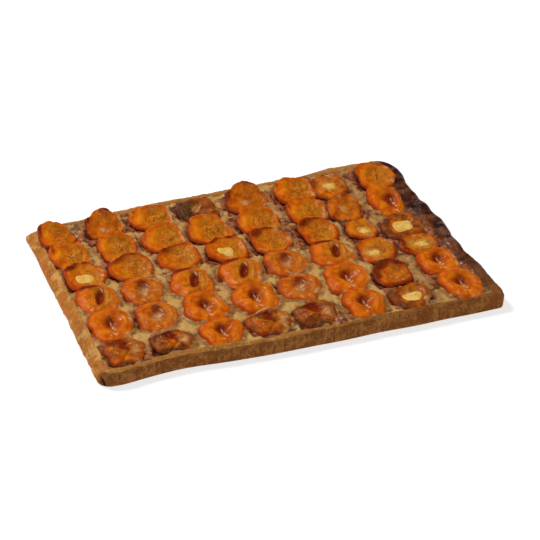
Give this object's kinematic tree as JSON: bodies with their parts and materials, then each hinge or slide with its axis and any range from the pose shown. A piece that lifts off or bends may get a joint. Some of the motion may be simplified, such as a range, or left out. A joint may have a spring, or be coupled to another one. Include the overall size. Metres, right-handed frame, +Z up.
{
  "type": "apricot tart",
  "caption": "Large rectangular sheet tart: thin pastry case, baked custard filling and rows of glazed apricot halves leaning towards the near side.",
  "frame": {"origin": "middle of the underside", "axes": "+X along the long side, +Y away from the near long side, +Z up"},
  "size_m": [0.4014, 0.2854, 0.032],
  "materials": {
    "pastry": "dry baked shortcrust, golden with browned edges",
    "custard": "baked custard, pale yellow, mottled and slightly glazed",
    "apricot": "baked apricot flesh under a clear glaze",
    "browned_apricot": "baked apricot, browned and half sunk in custard",
    "custard_pool": "pale custard pooled in a half"
  },
  "bodies": {
    "root": {"crust": "pastry", "custard": "custard", "apricot_c1_r1": "apricot", "apricot_c2_r1": "apricot", "apricot_c3_r1": "apricot", "apricot_c4_r1": "browned_apricot", "apricot_c5_r1": "apricot", "apricot_c6_r1": "apricot", "apricot_c7_r1": "browned_apricot", "pool_c7_r1": "custard_pool", "apricot_c8_r1": "apricot", "apricot_c1_r2": "apricot", "apricot_c2_r2": "apricot", "apricot_c3_r2": "apricot", "apricot_c4_r2": "apricot", "apricot_c5_r2": "apricot", "apricot_c6_r2": "apricot", "apricot_c7_r2": "apricot", "apricot_c8_r2": "apricot", "apricot_c1_r3": "apricot", "pool_c1_r3": "custard_pool", "apricot_c2_r3": "apricot", "apricot_c3_r3": "apricot", "apricot_c4_r3": "apricot", "pool_c4_r3": "custard_pool", "apricot_c5_r3": "apricot", "apricot_c6_r3": "apricot", "apricot_c7_r3": "browned_apricot", "pool_c7_r3": "custard_pool", "apricot_c8_r3": "browned_apricot", "pool_c8_r3": "custard_pool", "apricot_c1_r4": "apricot", "apricot_c2_r4": "apricot", "apricot_c3_r4": "apricot", "apricot_c4_r4": "apricot", "apricot_c5_r4": "apricot", "apricot_c6_r4": "apricot", "apricot_c7_r4": "browned_apricot", "pool_c7_r4": "custard_pool", "apricot_c8_r4": "browned_apricot", "pool_c8_r4": "custard_pool", "apricot_c1_r5": "apricot", "apricot_c2_r5": "apricot", "apricot_c3_r5": "apricot", "apricot_c4_r5": "apricot", "apricot_c5_r5": "apricot", "apricot_c6_r5": "apricot", "apricot_c7_r5": "apricot", "apricot_c8_r5": "apricot", "apricot_c1_r6": "browned_apricot", "apricot_c2_r6": "browned_apricot", "apricot_c3_r6": "apricot", "apricot_c4_r6": "browned_apricot", "apricot_c5_r6": "browned_apricot", "apricot_c6_r6": "apricot", "apricot_c7_r6": "browned_apricot", "pool_c7_r6": "custard_pool", "apricot_c8_r6": "apricot"}
  },
  "joints": []
}
